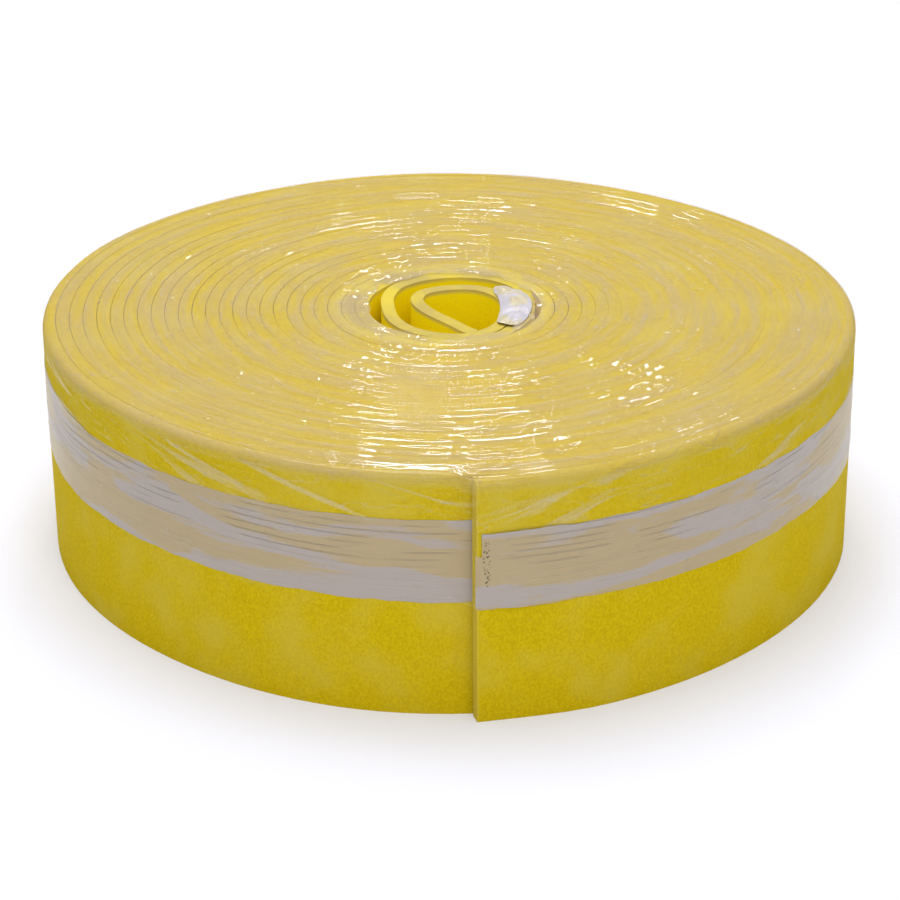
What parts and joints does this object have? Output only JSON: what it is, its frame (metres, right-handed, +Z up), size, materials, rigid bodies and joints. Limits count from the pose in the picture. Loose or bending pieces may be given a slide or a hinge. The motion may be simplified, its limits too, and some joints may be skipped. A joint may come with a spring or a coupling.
{
  "type": "rolled perimeter insulation strip",
  "caption": "Roll of yellow foam edge insulation strip with a milky film skirt, lying on its flat end under a clear stretch wrap.",
  "frame": {"origin": "middle of the roll's footprint on the floor", "axes": "+Z up along the roll's winding axis; the strip's free outer end faces the front (-Y), a little to the right (+X)"},
  "size_m": [0.51, 0.5136, 0.1505],
  "materials": {
    "yellow_foam": "closed-cell polyethylene foam, matte",
    "milky_film": "milky polyethylene film",
    "clear_film": "clear stretch film"
  },
  "bodies": {
    "root": {"foam_strip_roll": "yellow_foam", "film_skirt": "milky_film", "film_skirt_inner_end": "milky_film", "stretch_wrap": "clear_film"}
  },
  "joints": []
}
